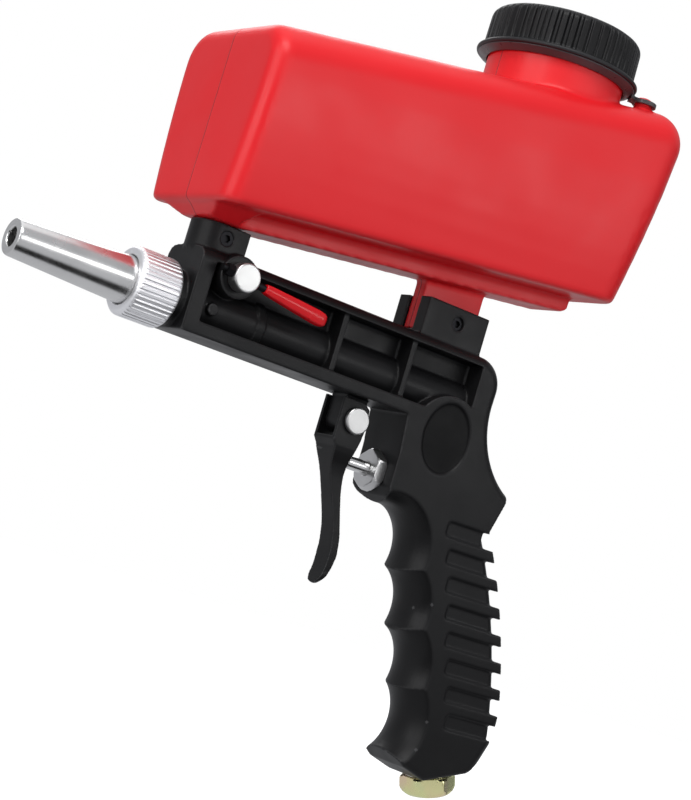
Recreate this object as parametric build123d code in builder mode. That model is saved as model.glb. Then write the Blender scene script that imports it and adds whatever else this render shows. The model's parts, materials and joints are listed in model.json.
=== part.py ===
"""Handheld gravity-feed blasting gun: a hopper on a pistol body, with a feed valve and an air trigger.

The origin is the centre of the nozzle's mouth. X runs back along the barrel, Z is up and Y is across.
"""
from build123d import *
from math import cos, radians, sin, tan
import os

os.makedirs("parts", exist_ok=True)

# ---- pistol body ----
body_front = 76.0
body_half = 14.8
body_top = 23.0
body_bottom = -12.7
flange = 3.8
pocket_floor = 4.0
barrel_tube_r = 9.8
tube_collar_x = body_front + 36.5
tube_collar_r = 10.6
tube_collar_length = 4.0
rib_half = 1.3
rib_recess = 1.2

# ---- grip: its axis leans back towards the bottom ----
inlet_x = body_front + 196.7
inlet_z = -161.6
grip_lean = 19.35
channel_count = 8
channel_pitch = 11.7
channel_height = 6.9
channel_top_z = -51.1
channel_side_depth = 0.7
scoop_r = 17.5
scoop_side_r = 24.0
scoop_centres = [(-33.8, -108.8), (-33.2, -82.6), (-32.6, -55.6), (-34.2, -32.6)]

# ---- barrel, nozzle and nut ----
spigot_r = 12.0
spigot_front = 62.0
nozzle_mouth_r = 7.7
nozzle_bore_r = 4.0
nozzle_rear_r = 10.3
nut_front = 52.5
nut_rear = 71.9
nut_r = 15.0
collar_r = 11.7
collar_front = 56.5
collar_rear = 61.2
mix_bore_r = 6.5
jet_front = 104.0
jet_seat = 112.0
jet_rear = 134.0
air_r = 4.0

# ---- feed valve ----
valve_x = body_front + 18.5
valve_z = 15.4
spool_r = 5.0
spool_head_r = 6.2
spool_head_gap = 0.1
spool_near_y = -23.0
spool_far_y = 17.6
valve_boss_r = 9.0
valve_boss_y = -16.2
valve_boss_far_y = 15.0
rod_y = -19.7
rod_drop = 6.5
running = 0.05

# ---- front socket and rear bracket, which carry the hopper ----
socket_x = body_front + 9.5
socket_r = 10.5
socket_top = 34.8
socket_lug_end = body_front + 21.0
socket_bore_r = 7.6
bracket_front = body_front + 115.9
bracket_rear = body_front + 150.0
bracket_half = 11.8
bracket_top = 39.6
slot_half = 4.1
grub_r = 3.0

# ---- trigger and air valve ----
pin_x = body_front + 98.8
pin_z = -22.9
pin_r = 2.5
cheek_outer = 8.0
cheek_inner = 6.3
lug_half = 6.0
stem_z = -40.0
stem_r = 3.0
stem_neck_r = 2.2
gland_front = body_front + 116.4
gland_seat = body_front + 121.4
chamber_r = 6.0
chamber_rear = body_front + 156.0

# ---- hopper ----
hopper_front = body_front - 8.1
hopper_half = 38.8
hopper_wall = 2.6
top_slope = 11.05
bottom_slope = 6.85
front_top_z = 115.4
front_bottom_z = 39.6
neck_x = body_front + 155.0
neck_r = 31.7
neck_top = 173.4
cap_flange_bottom = 157.2
cap_top = 180.2
cap_skirt_r = 35.2
cap_lip_r = 37.8

# flank pockets, and the oval pad that the last one curves round
pocket_low = -7.0
pocket_high = 18.5
pad_x = body_front + 143.2
pad_z = -17.4
pad_rim_r = 19.0
pad_half_length = 12.75
pad_half_height = 16.0
pad_depth = 1.0
channel_start = body_front + 157.5
channel_step = 4.15
channel_length = 44.0

# the feed passage drops from the socket through the spool into the barrel
feed_r = 3.0
socket_floor = 24.0
feed_plane = Plane(origin=(socket_x + 1.0, 0, 33.0), x_dir=(0, 1, 0), z_dir=(8.0, 0, -17.6))
feed_length = 31.0
jet_bore_r = 1.6

# seal rings and clip on the spool, and the rod that carries the lever
ring_width = 2.0
groove_r = 4.0
clip_y = 15.2
clip_width = 1.0
rod_r = 1.6
rod_plane = Plane(
    origin=(valve_x, rod_y, valve_z),
    x_dir=(0, 1, 0),
    z_dir=(cos(radians(rod_drop)), 0, -sin(radians(rod_drop))),
)
rod_front = 11.5
rod_rear = 36.0
lever_nut_r = 2.7
lever_nut_height = 3.2
sleeve_start = 11.0
sleeve_end = 43.5

# grub screws
front_grub_x = body_front + 10.8
front_grub_z = 29.3
rear_grub_x = body_front + 134.2
rear_grub_z = 32.5
slot_bottom = 24.6
grub_key = 3.0
grub_key_depth = 1.4

# trigger outline, measured in the side view
lug_front = body_front + 92.4
lug_rear = body_front + 103.6
lug_r = 6.4
cheek_front = body_front + 90.5
cheek_rear = body_front + 104.6
trigger_floor = -31.8
pin_head_r = 6.0
pin_head_height = 2.2
blade_front = [
    (body_front + 92.2, -34.5),
    (body_front + 96.3, -47.0),
    (body_front + 102.0, -60.0),
    (body_front + 106.4, -73.0),
    (body_front + 107.4, -83.0),
    (body_front + 105.6, -93.4),
]
blade_rear = [
    (body_front + 103.6, -34.5),
    (body_front + 103.4, -46.0),
    (body_front + 106.4, -60.0),
    (body_front + 110.4, -73.0),
    (body_front + 111.2, -83.0),
    (body_front + 107.6, -93.4),
]
blade_tip_z = -94.6
# half the blade's width at heights down its length, seen from the front
blade_widths = [(cheek_outer, -33.0), (7.8, -36.0), (5.3, -43.0), (4.5, -54.0), (4.8, -68.0), (5.3, -80.0), (4.9, -88.5)]

# air valve
gland_across_flats = 16.5
gland_shank = 6.0
packing_length = 2.5
stem_tip = body_front + 103.75
stem_tip_r = 2.6
stem_step = body_front + 130.4
transfer_x = body_front + 133.5
transfer_r = 1.9
seat_front = body_front + 136.0
seat_length = 2.0
seat_bore_r = 3.4
poppet_front = seat_front + seat_length + 0.05
poppet_length = 4.0
poppet_r = 4.6
spring_outer_r = 4.4
spring_inner_r = 3.2

# air inlet
washer_r = 10.4
washer_thickness = 1.2
inlet_across_flats = 22.0
inlet_hex_height = 9.2
inlet_shank_r = 8.0
inlet_shank_length = 14.0
inlet_thread_r = 5.7
inlet_thread_length = 12.0
grip_air_length = 125.0

# hopper outline
hopper_rear = body_front + 216.4
hopper_low_rear = body_front + 204.5
hopper_low_half = 30.9
shoulder_z = 95.0
crown_r = 15.0
nose_r = 7.0
floor_r = 2.5
keel_depth = 7.2
keel_half = 12.0
keel_front = body_front - 0.5
keel_level_end = body_front + 15.0
keel_clear = 0.4
keel_rear = body_front + 190.5
keel_end_r = 3.6
keel_rise = 6.0
chin_half = 26.0
chin_length = 24.0
chin_setback = 1.5
chin_sink = 1.2
chin_rear = body_front + 12.0
post_half = 4.0
post_front = body_front + 117.0
post_rear = body_front + 149.6
peg_x = body_front + 191.5
peg_y = -22.0
peg_r = 4.0

# cap, tether ring and strap
cap_bore_r = neck_r + 0.5
cap_under = 176.6
cap_lip_top = 162.0
ring_top = 159.8
ring_r = 35.2
eye_r = 6.0
strap_low = 156.4
strap_thickness = 2.0


def grip_point(back, down):
    """A point of the side view, measured back from and down along the leaning grip axis."""
    lean = radians(grip_lean)
    x = inlet_x + back * cos(lean) + down * sin(lean)
    z = inlet_z + back * sin(lean) - down * cos(lean)
    return (x, z)


def across(x, z, start_y=0.0):
    """A sketch plane whose normal is +Y, centred on a cross axis."""
    return Plane(origin=(x, start_y, z), x_dir=(1, 0, 0), z_dir=(0, 1, 0))


def along(x, z=0.0):
    """A sketch plane whose normal is +X, centred on a lengthwise axis."""
    return Plane(origin=(x, 0, z), x_dir=(0, 1, 0), z_dir=(1, 0, 0))


# the front line of the grip runs through the ridges between the finger scoops
ridges = [
    grip_point(-22.8, -95.6),
    grip_point(-20.6, -69.0),
    grip_point(-20.2, -43.0),
    grip_point(-27.9, -16.4),
]
grip_seat = grip_point(0, -1.2)

# the back of the grip: its outer line over the ribs, and the line of the channel floors between them
back_line = [(body_front + 181.1, -50.4), (body_front + 202.7, -90.0), (body_front + 217.8, -138.0)]
back_floor = [(body_front + 178.1, -50.4), (body_front + 199.9, -90.0), (body_front + 215.2, -138.0)]
spur = (body_front + 186.7, -31.8)
inlet_plane = Plane(
    origin=(grip_seat[0], 0, grip_seat[1]),
    x_dir=(0, 1, 0),
    z_dir=(-sin(radians(grip_lean)), 0, cos(radians(grip_lean))),
)


# ================================================================ gun body
def body_outline():
    """The wires of the body's side view, closed clockwise from the front of the barrel housing."""
    top_corner = (body_front + 151.6, body_top)
    back_corner = (body_front + 165.2, 10.0)
    waist = (body_front + 165.0, 3.0)
    Line((body_front, body_bottom), (body_front, body_top))
    Line((body_front, body_top), top_corner)
    ThreePointArc(top_corner, (body_front + 161.8, 18.8), back_corner)
    Line(back_corner, waist)
    ThreePointArc(waist, (body_front + 170.9, -17.3), spur)
    Line(spur, back_line[0])
    ThreePointArc(*back_line)
    Polyline(
        back_line[2], grip_point(26.2, -12.0), grip_point(21.5, -6.4), grip_point(11.2, -1.2),
        grip_point(-12.0, -1.2), grip_point(-22.6, -8.8), ridges[3],
    )
    Line(ridges[3], ridges[2])
    Line(ridges[2], ridges[1])
    Line(ridges[1], ridges[0])
    Polyline(
        ridges[0], (body_front + 126.6, -53.0), (body_front + 122.8, -49.6),
        (gland_seat, -45.6), (gland_seat, -30.0),
    )
    Line((gland_seat, -30.0), (body_front + 119.6, body_bottom))
    Line((body_front + 119.6, body_bottom), (body_front, body_bottom))


def is_waist_edge(edge):
    """True for the edges round the housing's back, from its top corner down to the spur."""
    middle = edge.position_at(0.5)
    return abs(abs(middle.Y) - body_half) < 0.01 and middle.X > body_front + 158 and middle.Z > spur[1]


def is_back_edge(edge):
    """True for the edges down the back of the grip, under the spur."""
    middle = edge.position_at(0.5)
    return abs(abs(middle.Y) - body_half) < 0.01 and middle.X > body_front + 204 and middle.Z > -150


def is_foot_edge(edge):
    """True for the edges round the grip's foot."""
    middle = edge.position_at(0.5)
    return abs(abs(middle.Y) - body_half) < 0.01 and middle.Z < -156


with BuildPart() as body_block:
    with BuildSketch(Plane.XZ):
        with BuildLine():
            body_outline()
        make_face()
    extrude(amount=body_half, both=True)
    fillet(body_block.edges().filter_by(is_waist_edge), 5.5)
    fillet(body_block.edges().filter_by(is_back_edge), 6.0)
    fillet(body_block.edges().filter_by(is_foot_edge), 2.0)


def is_core_back_edge(edge):
    """True for the edges down the back of the grip's core."""
    middle = edge.position_at(0.5)
    return abs(middle.Y) > body_half - 1 and middle.X > back_floor[1][0] - 6 and middle.Z > -130


# the grip inside its ribs: what is left standing between them when the channels are cut
with BuildPart() as grip_core:
    with BuildSketch(Plane.XZ):
        with BuildLine():
            ThreePointArc(*back_floor)
            Line(back_floor[2], grip_point(-8, -12.0))
            Line(grip_point(-8, -12.0), (body_front + 150.0, -45.0))
            Line((body_front + 150.0, -45.0), (back_floor[0][0], -45.0))
            Line((back_floor[0][0], -45.0), back_floor[0])
        make_face()
    extrude(amount=body_half - channel_side_depth, both=True)
    fillet(grip_core.edges().filter_by(is_core_back_edge), 5.0)


def pocket_cells():
    """The three open cells in the body's flank, between its ribs, with an arc round the oval pad."""
    cell_starts = [body_front + 7.4, body_front + 75.8 + rib_half, body_front + 113.7 + rib_half]
    cell_ends = [body_front + 75.8 - rib_half, body_front + 113.7 - rib_half, body_front + 152.0]
    for cell_start, cell_end in zip(cell_starts, cell_ends):
        with Locations(((cell_start + cell_end) / 2, (pocket_low + pocket_high) / 2)):
            Rectangle(cell_end - cell_start, pocket_high - pocket_low)
    with Locations((pad_x, pad_z)):
        Circle(pad_rim_r, mode=Mode.SUBTRACT)


with BuildPart() as gun_body:
    add(body_block.part)

    # channels across the back of the grip, which leave the ribs between them
    with BuildSketch(Plane.XZ):
        for number in range(channel_count):
            channel_z = channel_top_z - channel_height / 2 - number * channel_pitch
            start_x = channel_start + number * channel_step
            with Locations((start_x + channel_length / 2, channel_z)):
                RectangleRounded(channel_length, channel_height, 2.0)
    extrude(amount=body_half + 1, both=True, mode=Mode.SUBTRACT)
    add(grip_core.part)

    # four finger scoops: each is a pulley shape turned about a cross axis in front of the grip
    for back, down in scoop_centres:
        centre_x, centre_z = grip_point(back, down)
        with BuildSketch(Plane(origin=(centre_x, 0, centre_z), x_dir=(1, 0, 0), z_dir=(0, 0, 1))):
            with BuildLine():
                Polyline(
                    (scoop_side_r, -body_half), (0, -body_half), (0, body_half), (scoop_side_r, body_half),
                )
                ThreePointArc((scoop_side_r, body_half), (scoop_r, 0), (scoop_side_r, -body_half))
            make_face()
        revolve(axis=Axis((centre_x, 0, centre_z), (0, 1, 0)), mode=Mode.SUBTRACT)

    # flank pockets with the barrel tube showing in them
    for side in (-1, 1):
        with BuildSketch(Plane.XZ.offset(-side * pocket_floor)):
            pocket_cells()
        extrude(amount=-side * (body_half - pocket_floor), mode=Mode.SUBTRACT)
        # the two cross ribs stand a little back from the flank
        with BuildSketch(Plane.XZ.offset(-side * (body_half - rib_recess))):
            for rib_x in (body_front + 75.8, body_front + 113.7):
                with Locations((rib_x, (pocket_low + pocket_high) / 2)):
                    Rectangle(2 * rib_half, pocket_high - pocket_low)
        extrude(amount=-side * rib_recess, mode=Mode.SUBTRACT)
        with BuildSketch(across(pad_x, pad_z, side * (body_half - pad_depth))):
            Ellipse(pad_half_length, pad_half_height)
        extrude(amount=side * pad_depth, mode=Mode.SUBTRACT)
    with BuildSketch(along(body_front + 1)):
        Circle(barrel_tube_r)
    extrude(amount=158)
    with BuildSketch(along(tube_collar_x)):
        Circle(tube_collar_r)
    extrude(amount=tube_collar_length)

    # spigot for the nozzle's nut, valve boss, small blind boss, hopper socket and hopper bracket
    with BuildSketch(along(spigot_front)):
        Circle(spigot_r)
    extrude(amount=body_front - spigot_front + 1)
    with BuildSketch(across(valve_x, valve_z, valve_boss_y)):
        Circle(valve_boss_r)
    extrude(amount=valve_boss_far_y - valve_boss_y)
    for side in (-1, 1):
        with BuildSketch(across(body_front + 13.3, -0.2, side * 5)):
            Circle(2.5)
        extrude(amount=side * 7)
    with BuildSketch(Plane.XY.offset(body_top - 1)):
        with Locations((socket_x, 0)):
            Circle(socket_r)
        with Locations(((socket_x + socket_lug_end) / 2, 0)):
            Rectangle(socket_lug_end - socket_x, 2 * socket_r)
    extrude(amount=socket_top - body_top + 1)
    with BuildSketch(Plane.XY.offset(body_top - 1)):
        with Locations(((bracket_front + bracket_rear) / 2, 0)):
            Rectangle(bracket_rear - bracket_front, 2 * bracket_half)
    extrude(amount=bracket_top - body_top + 1)
    with BuildSketch(Plane.XY.offset(slot_bottom)):
        with Locations(((bracket_front + bracket_rear) / 2, 0)):
            Rectangle(bracket_rear - bracket_front + 2, 2 * slot_half)
    extrude(amount=bracket_top - slot_bottom + 1, mode=Mode.SUBTRACT)

    # lug that hangs under the housing and holds the trigger's pin
    with BuildSketch(Plane.XZ):
        with BuildLine():
            Polyline((lug_front, body_bottom + 1), (lug_rear, body_bottom + 1), (lug_rear, pin_z))
            ThreePointArc((lug_rear, pin_z), (pin_x, pin_z - lug_r), (pin_x - lug_r, pin_z))
            Polyline((pin_x - lug_r, pin_z), (lug_front, pin_z + 2), (lug_front, body_bottom + 1))
        make_face()
    extrude(amount=lug_half, both=True)

    # bores: spool, trigger pin, socket, feed passage, barrel, air ways, valve chamber and inlet
    with BuildSketch(across(valve_x, valve_z, valve_boss_y - 1)):
        Circle(spool_r + running)
    extrude(amount=valve_boss_far_y - valve_boss_y + 2, mode=Mode.SUBTRACT)
    with BuildSketch(across(pin_x, pin_z, -lug_half - 1)):
        Circle(pin_r)
    extrude(amount=2 * lug_half + 2, mode=Mode.SUBTRACT)
    with BuildSketch(Plane.XY.offset(socket_floor)):
        with Locations((socket_x, 0)):
            Circle(socket_bore_r)
    extrude(amount=socket_top - socket_floor + 1, mode=Mode.SUBTRACT)
    with BuildSketch(feed_plane):
        Circle(feed_r)
    extrude(amount=feed_length, mode=Mode.SUBTRACT)
    with BuildSketch(along(spigot_front - 1)):
        Circle(mix_bore_r)
    extrude(amount=jet_rear - spigot_front + 1, mode=Mode.SUBTRACT)
    with BuildSketch(along(jet_rear - 1)):
        Circle(air_r)
    extrude(amount=transfer_x + 2 - jet_rear, mode=Mode.SUBTRACT)
    with BuildSketch(Plane.XY.offset(stem_z)):
        with Locations((transfer_x, 0)):
            Circle(transfer_r)
    extrude(amount=-stem_z, mode=Mode.SUBTRACT)
    with BuildSketch(along(gland_seat - 1, stem_z)):
        Circle(chamber_r)
    extrude(amount=chamber_rear - gland_seat + 1, mode=Mode.SUBTRACT)
    with BuildSketch(inlet_plane):
        Circle(inlet_shank_r)
    extrude(amount=inlet_shank_length, mode=Mode.SUBTRACT)
    with BuildSketch(inlet_plane):
        Circle(air_r)
    extrude(amount=grip_air_length, mode=Mode.SUBTRACT)

    # threaded holes for the grub screws, near side only
    with BuildSketch(across(front_grub_x, front_grub_z, -socket_r - 1)):
        Circle(grub_r)
    extrude(amount=socket_r + 1, mode=Mode.SUBTRACT)
    with BuildSketch(across(rear_grub_x, rear_grub_z, -bracket_half - 1)):
        Circle(grub_r)
    extrude(amount=bracket_half + 1, mode=Mode.SUBTRACT)
gun_body.part.label = "gun_body"
export_step(gun_body.part, "parts/gun_body.step")


# ================================================================ nozzle end
with BuildPart() as nozzle:
    with BuildSketch(Plane.XZ):
        with BuildLine():
            Polyline(
                (0, nozzle_bore_r), (0, nozzle_mouth_r - 0.6), (0.6, nozzle_mouth_r), (nut_front + 1, nozzle_rear_r),
                (collar_front, nozzle_rear_r), (collar_front, collar_r), (collar_rear, collar_r),
                (collar_rear, nozzle_bore_r), (0, nozzle_bore_r),
            )
        make_face()
    revolve(axis=Axis.X)
nozzle.part.label = "nozzle"
export_step(nozzle.part, "parts/nozzle.step")

with BuildPart() as nozzle_seal:
    with BuildSketch(along(collar_rear)):
        Circle(spigot_r - 0.8)
        Circle(mix_bore_r, mode=Mode.SUBTRACT)
    extrude(amount=spigot_front - collar_rear)
nozzle_seal.part.label = "nozzle_seal"
export_step(nozzle_seal.part, "parts/nozzle_seal.step")

with BuildPart() as nozzle_nut:
    with BuildSketch(Plane.XZ):
        with BuildLine():
            Polyline(
                (nut_front, nozzle_rear_r + 0.3), (nut_front, nut_r - 1.2), (nut_front + 1.2, nut_r),
                (nut_rear - 0.8, nut_r), (nut_rear, nut_r - 0.8), (nut_rear, spigot_r + running),
                (collar_front - running, spigot_r + running), (collar_front - running, nozzle_rear_r + 0.3),
                (nut_front, nozzle_rear_r + 0.3),
            )
        make_face()
    revolve(axis=Axis.X)
nozzle_nut.part.label = "nozzle_nut"
export_step(nozzle_nut.part, "parts/nozzle_nut.step")

with BuildPart() as air_jet:
    with BuildSketch(Plane.XZ):
        with BuildLine():
            Polyline(
                (jet_front, jet_bore_r), (jet_front, 3.0), (jet_seat, 4.2), (jet_seat, mix_bore_r),
                (jet_rear, mix_bore_r), (jet_rear, jet_bore_r + 1.5), (jet_rear - 10, jet_bore_r),
                (jet_front, jet_bore_r),
            )
        make_face()
    revolve(axis=Axis.X)
air_jet.part.label = "air_jet"
export_step(air_jet.part, "parts/air_jet.step")


# ================================================================ feed valve
with BuildPart() as valve_spool:
    with BuildSketch(across(valve_x, valve_z, spool_near_y)):
        Circle(spool_r)
    extrude(amount=spool_far_y - spool_near_y)
    with BuildSketch(across(valve_x, valve_z, spool_near_y)):
        Circle(spool_head_r)
    extrude(amount=valve_boss_y - spool_head_gap - spool_near_y)
    chamfer(valve_spool.edges().group_by(Axis.Y)[0], 0.4)
    chamfer(valve_spool.edges().group_by(Axis.Y)[-1], 0.4)
    with BuildSketch(feed_plane):
        Circle(feed_r)
    extrude(amount=feed_length, mode=Mode.SUBTRACT)
    with BuildSketch(rod_plane.offset(-10)):
        Circle(rod_r)
    extrude(amount=20, mode=Mode.SUBTRACT)
    # grooves for the two seal rings and the clip
    for groove_y, groove_width in ((-9.5, ring_width), (8.0, ring_width), (clip_y, clip_width)):
        with BuildSketch(across(valve_x, valve_z, groove_y)):
            Circle(spool_r)
            Circle(groove_r, mode=Mode.SUBTRACT)
        extrude(amount=groove_width, mode=Mode.SUBTRACT)
valve_spool.part.label = "valve_spool"
export_step(valve_spool.part, "parts/valve_spool.step")

with BuildPart() as spool_seals:
    for groove_y in (-9.5, 8.0):
        with BuildSketch(across(valve_x, valve_z, groove_y)):
            Circle(spool_r + running / 2)
            Circle(groove_r, mode=Mode.SUBTRACT)
        extrude(amount=ring_width)
spool_seals.part.label = "spool_seals"
export_step(spool_seals.part, "parts/spool_seals.step")

with BuildPart() as spool_clip:
    with BuildSketch(across(valve_x, valve_z, clip_y)):
        Circle(spool_r + 2.0)
        Circle(groove_r, mode=Mode.SUBTRACT)
        with Locations((0, -groove_r - 1.5)):
            Rectangle(3.2, 5.0, mode=Mode.SUBTRACT)
    extrude(amount=clip_width)
spool_clip.part.label = "spool_clip"
export_step(spool_clip.part, "parts/spool_clip.step")

with BuildPart() as lever_rod:
    with BuildSketch(rod_plane.offset(-rod_front)):
        Circle(rod_r)
    extrude(amount=rod_front + rod_rear)
lever_rod.part.label = "lever_rod"
export_step(lever_rod.part, "parts/lever_rod.step")

with BuildPart() as lever_nut:
    with BuildSketch(rod_plane.offset(-spool_head_r - running - lever_nut_height)):
        RegularPolygon(lever_nut_r, 6)
        Circle(rod_r, mode=Mode.SUBTRACT)
    extrude(amount=lever_nut_height)
lever_nut.part.label = "lever_nut"
export_step(lever_nut.part, "parts/lever_nut.step")

with BuildPart() as lever_grip:
    with BuildSketch(rod_plane.offset(sleeve_start)):
        RectangleRounded(4.6, 4.8, 1.6)
    with BuildSketch(rod_plane.offset(sleeve_end)):
        RectangleRounded(6.0, 7.4, 2.6)
    loft()
    fillet(lever_grip.faces().sort_by(Axis.X)[-1].edges(), 2.2)
    with BuildSketch(rod_plane.offset(sleeve_start - 1)):
        Circle(rod_r)
    extrude(amount=rod_rear - sleeve_start + 1, mode=Mode.SUBTRACT)
lever_grip.part.label = "lever_grip"
export_step(lever_grip.part, "parts/lever_grip.step")


# ================================================================ trigger
# the blade: a curved strip down to the finger tip, as wide as the head at its root
with BuildPart() as blade:
    with BuildSketch(Plane.XZ):
        with BuildLine():
            Spline(blade_front)
            Spline(blade_rear)
            Line(blade_front[0], blade_rear[0])
            ThreePointArc(blade_front[-1], (body_front + 106.3, blade_tip_z), blade_rear[-1])
        make_face()
    extrude(amount=cheek_outer, both=True)
    with BuildSketch(Plane.YZ):
        with BuildLine():
            Spline(blade_widths)
            Spline([(-half, z) for half, z in blade_widths])
            Line(blade_widths[0], (-cheek_outer, blade_widths[0][1]))
            tip_half, tip_start = blade_widths[-1]
            ThreePointArc((tip_half, tip_start), (0, blade_tip_z), (-tip_half, tip_start))
        make_face()
    extrude(amount=body_front + 130, mode=Mode.INTERSECT)

with BuildPart() as trigger:
    # the head: a box open above and in front, closed below, that straddles the lug
    with BuildSketch(Plane.XZ):
        with BuildLine():
            Polyline(
                (cheek_front, -14.2), (cheek_rear - 3.4, -14.2), (cheek_rear, -16.5), (cheek_rear + 0.8, -24.0),
                (cheek_rear, -31.0), (body_front + 103.5, -35.5), (body_front + 92.2, -35.5),
                (cheek_front, -33.2), (cheek_front, -14.2),
            )
        make_face()
    extrude(amount=cheek_outer, both=True)
    with BuildSketch(Plane.XZ):
        with Locations(((cheek_front + cheek_rear) / 2, trigger_floor / 2)):
            Rectangle(cheek_rear - cheek_front + 6, -trigger_floor)
    extrude(amount=cheek_inner, both=True, mode=Mode.SUBTRACT)
    add(blade.part)
    with BuildSketch(across(pin_x, pin_z, -cheek_outer - 1)):
        Circle(pin_r + running)
    extrude(amount=2 * cheek_outer + 2, mode=Mode.SUBTRACT)
trigger.part.label = "trigger"
export_step(trigger.part, "parts/trigger.step")

with BuildPart() as trigger_pin:
    with BuildSketch(across(pin_x, pin_z, -cheek_outer - 0.2 - pin_head_height)):
        Circle(pin_head_r)
    extrude(amount=pin_head_height)
    chamfer(trigger_pin.edges().group_by(Axis.Y)[0], 0.4)
    with BuildSketch(across(pin_x, pin_z, -cheek_outer - 0.3)):
        Circle(pin_r)
    extrude(amount=2 * cheek_outer + 3.0)
    with BuildSketch(across(pin_x, pin_z, cheek_outer + 0.2)):
        Circle(pin_r)
        Circle(pin_r - 0.6, mode=Mode.SUBTRACT)
    extrude(amount=1.0, mode=Mode.SUBTRACT)
trigger_pin.part.label = "trigger_pin"
export_step(trigger_pin.part, "parts/trigger_pin.step")

with BuildPart() as trigger_pin_clip:
    with BuildSketch(across(pin_x, pin_z, cheek_outer + 0.2)):
        Circle(pin_r + 2.0)
        Circle(pin_r - 0.6, mode=Mode.SUBTRACT)
        with Locations((0, -3.2)):
            Rectangle(2.4, 4.0, mode=Mode.SUBTRACT)
    extrude(amount=1.0)
trigger_pin_clip.part.label = "trigger_pin_clip"
export_step(trigger_pin_clip.part, "parts/trigger_pin_clip.step")


# ================================================================ air valve behind the trigger
with BuildPart() as gland_nut:
    with BuildSketch(along(gland_front, stem_z)):
        RegularPolygon(gland_across_flats / 2, 6, major_radius=False, rotation=30)
    extrude(amount=gland_seat - gland_front)
    with BuildSketch(along(gland_seat, stem_z)):
        Circle(chamber_r)
    extrude(amount=gland_shank)
    with BuildSketch(along(gland_front - 1, stem_z)):
        Circle(stem_r + running)
    extrude(amount=gland_seat - gland_front + gland_shank + 2, mode=Mode.SUBTRACT)
gland_nut.part.label = "gland_nut"
export_step(gland_nut.part, "parts/gland_nut.step")

with BuildPart() as gland_packing:
    with BuildSketch(along(gland_seat + gland_shank, stem_z)):
        Circle(chamber_r)
        Circle(stem_r + running, mode=Mode.SUBTRACT)
    extrude(amount=packing_length)
gland_packing.part.label = "gland_packing"
export_step(gland_packing.part, "parts/gland_packing.step")

with BuildPart() as valve_stem:
    with BuildSketch(along(stem_tip, stem_z)):
        Circle(stem_r)
    extrude(amount=stem_step - stem_tip)
    fillet(valve_stem.edges().group_by(Axis.X)[0], stem_tip_r)
    with BuildSketch(along(stem_step, stem_z)):
        Circle(stem_neck_r)
    extrude(amount=poppet_front - stem_step)
valve_stem.part.label = "valve_stem"
export_step(valve_stem.part, "parts/valve_stem.step")

with BuildPart() as valve_seat:
    with BuildSketch(along(seat_front, stem_z)):
        Circle(chamber_r)
        Circle(seat_bore_r, mode=Mode.SUBTRACT)
    extrude(amount=seat_length)
valve_seat.part.label = "valve_seat"
export_step(valve_seat.part, "parts/valve_seat.step")

with BuildPart() as valve_poppet:
    with BuildSketch(along(poppet_front, stem_z)):
        Circle(poppet_r)
    extrude(amount=poppet_length)
valve_poppet.part.label = "valve_poppet"
export_step(valve_poppet.part, "parts/valve_poppet.step")

# the spring is drawn as the tube that its coils fill
with BuildPart() as valve_spring:
    with BuildSketch(along(poppet_front + poppet_length, stem_z)):
        Circle(spring_outer_r)
        Circle(spring_inner_r, mode=Mode.SUBTRACT)
    extrude(amount=chamber_rear - poppet_front - poppet_length)
valve_spring.part.label = "valve_spring"
export_step(valve_spring.part, "parts/valve_spring.step")


# ================================================================ air inlet
with BuildPart() as inlet_washer:
    with BuildSketch(inlet_plane):
        Circle(washer_r)
        Circle(inlet_shank_r, mode=Mode.SUBTRACT)
    extrude(amount=-washer_thickness)
inlet_washer.part.label = "inlet_washer"
export_step(inlet_washer.part, "parts/inlet_washer.step")

with BuildPart() as inlet_bushing:
    with BuildSketch(inlet_plane.offset(-washer_thickness)):
        RegularPolygon(inlet_across_flats / 2, 6, major_radius=False)
    extrude(amount=-inlet_hex_height)
    with BuildSketch(inlet_plane.offset(-washer_thickness)):
        Circle(inlet_shank_r)
    extrude(amount=washer_thickness + inlet_shank_length - 1)
    with BuildSketch(inlet_plane.offset(-washer_thickness - inlet_hex_height)):
        Circle(inlet_thread_r)
    extrude(amount=inlet_thread_length, mode=Mode.SUBTRACT)
    with BuildSketch(inlet_plane.offset(-washer_thickness)):
        Circle(air_r)
    extrude(amount=washer_thickness + inlet_shank_length, mode=Mode.SUBTRACT)
inlet_bushing.part.label = "inlet_bushing"
export_step(inlet_bushing.part, "parts/inlet_bushing.step")


# ================================================================ hopper
def hopper_top(x):
    """Height of the hopper's sloping top above a point along the barrel."""
    return front_top_z + (x - hopper_front) * tan(radians(top_slope))


def hopper_bottom(x):
    """Height of the hopper's sloping floor line above a point along the barrel."""
    return front_bottom_z + (x - hopper_front) * tan(radians(bottom_slope))


def hopper_side_view(inset):
    """The hopper's side view, drawn in from its outside by the given wall."""
    front = hopper_front + inset
    rear = hopper_rear - inset
    low_rear = hopper_low_rear - inset
    Polyline(
        (front, hopper_bottom(front) + inset), (front, hopper_top(front) - inset), (rear, hopper_top(rear) - inset),
        (low_rear, hopper_bottom(low_rear) + inset), (front, hopper_bottom(front) + inset),
    )


def hopper_cross_view(inset):
    """The hopper's cross view at its front: upright flanks that draw in below the shoulder line."""
    half = hopper_half - inset
    low_half = hopper_low_half - inset
    low_z = front_bottom_z - 12
    flank_middle = (half - 1.9, shoulder_z - 27.0)
    Polyline((low_half, low_z), (-low_half, low_z))
    ThreePointArc((-low_half, low_z), (-flank_middle[0], flank_middle[1]), (-half, shoulder_z))
    Polyline((-half, shoulder_z), (-half, 170), (half, 170), (half, shoulder_z))
    ThreePointArc((half, shoulder_z), flank_middle, (low_half, low_z))


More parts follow.
